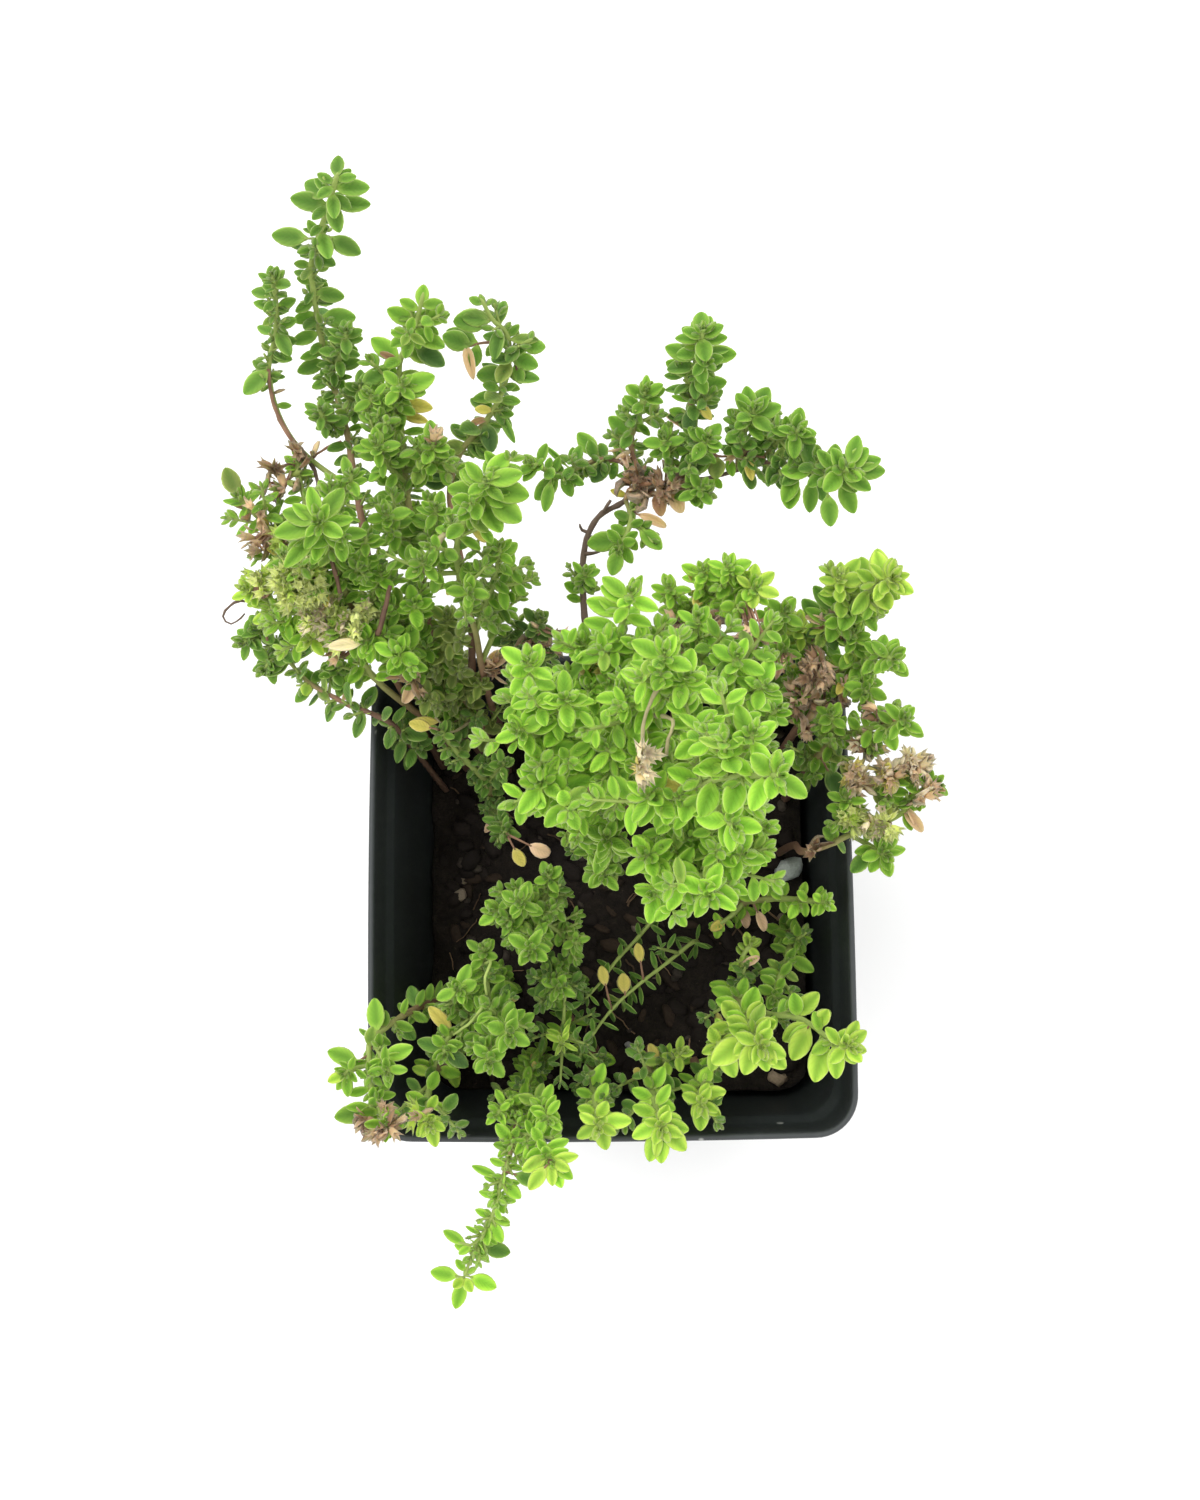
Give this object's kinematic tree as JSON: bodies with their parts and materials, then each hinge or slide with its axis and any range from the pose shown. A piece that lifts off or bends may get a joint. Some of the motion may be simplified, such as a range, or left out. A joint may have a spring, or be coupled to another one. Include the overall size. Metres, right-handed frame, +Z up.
{
  "type": "potted common thyme",
  "caption": "Common thyme with small paired leaves on thin branching stems, in a square nursery pot of soil.",
  "frame": {"origin": "centre of the pot's flat underside, on the ground", "axes": "+Z up, +Y towards the side that the tallest stems lean over, +X to the right of it"},
  "size_m": [0.1326, 0.1918, 0.1808],
  "materials": {
    "pot": "satin",
    "soil": "rough",
    "foliage": "matte"
  },
  "bodies": {
    "root": {"pot": "pot", "soil": "soil", "leafy_stem_tall": "foliage", "leafy_stem_fan": "foliage", "leafy_stem_arch": "foliage", "leafy_stem_bright_right": "foliage", "leafy_stem_bright_left": "foliage", "leafy_stem_whorled": "foliage", "leafy_stem_over_corner": "foliage", "leafy_stem_left_heart": "foliage", "leafy_stem_inner_back": "foliage", "leafy_stem_back_dark": "foliage", "leafy_stem_woody": "foliage", "leafy_stem_dome_left": "foliage", "leafy_stem_dome_back": "foliage", "leafy_stem_dome_middle": "foliage", "leafy_stem_dome_top": "foliage", "leafy_stem_dome_right": "foliage", "leafy_stem_dome_front": "foliage", "leafy_stem_dome_low": "foliage", "leafy_stem_back_crest": "foliage", "leafy_stem_right_crest": "foliage", "leafy_stem_right_yellow": "foliage", "leafy_stem_right_middle": "foliage", "leafy_stem_right_low": "foliage", "leafy_stem_dried_heads": "foliage", "leafy_stem_paired": "foliage", "leafy_stem_right_side": "foliage", "leafy_stem_front_bright": "foliage", "leafy_stem_thin_long": "foliage", "leafy_stem_thin_short": "foliage", "leafy_stem_left_dome": "foliage", "leafy_stem_left_front": "foliage", "leafy_stem_front_small": "foliage", "leafy_stem_front_narrow": "foliage", "leafy_stem_trailing": "foliage", "leafy_stem_front_edge": "foliage", "leafy_stem_front_edge_right": "foliage", "leafy_stem_front_star": "foliage", "leafy_stem_corner": "foliage", "leafy_stem_corner_inner": "foliage", "leafy_stem_left_thin": "foliage"}
  },
  "joints": []
}
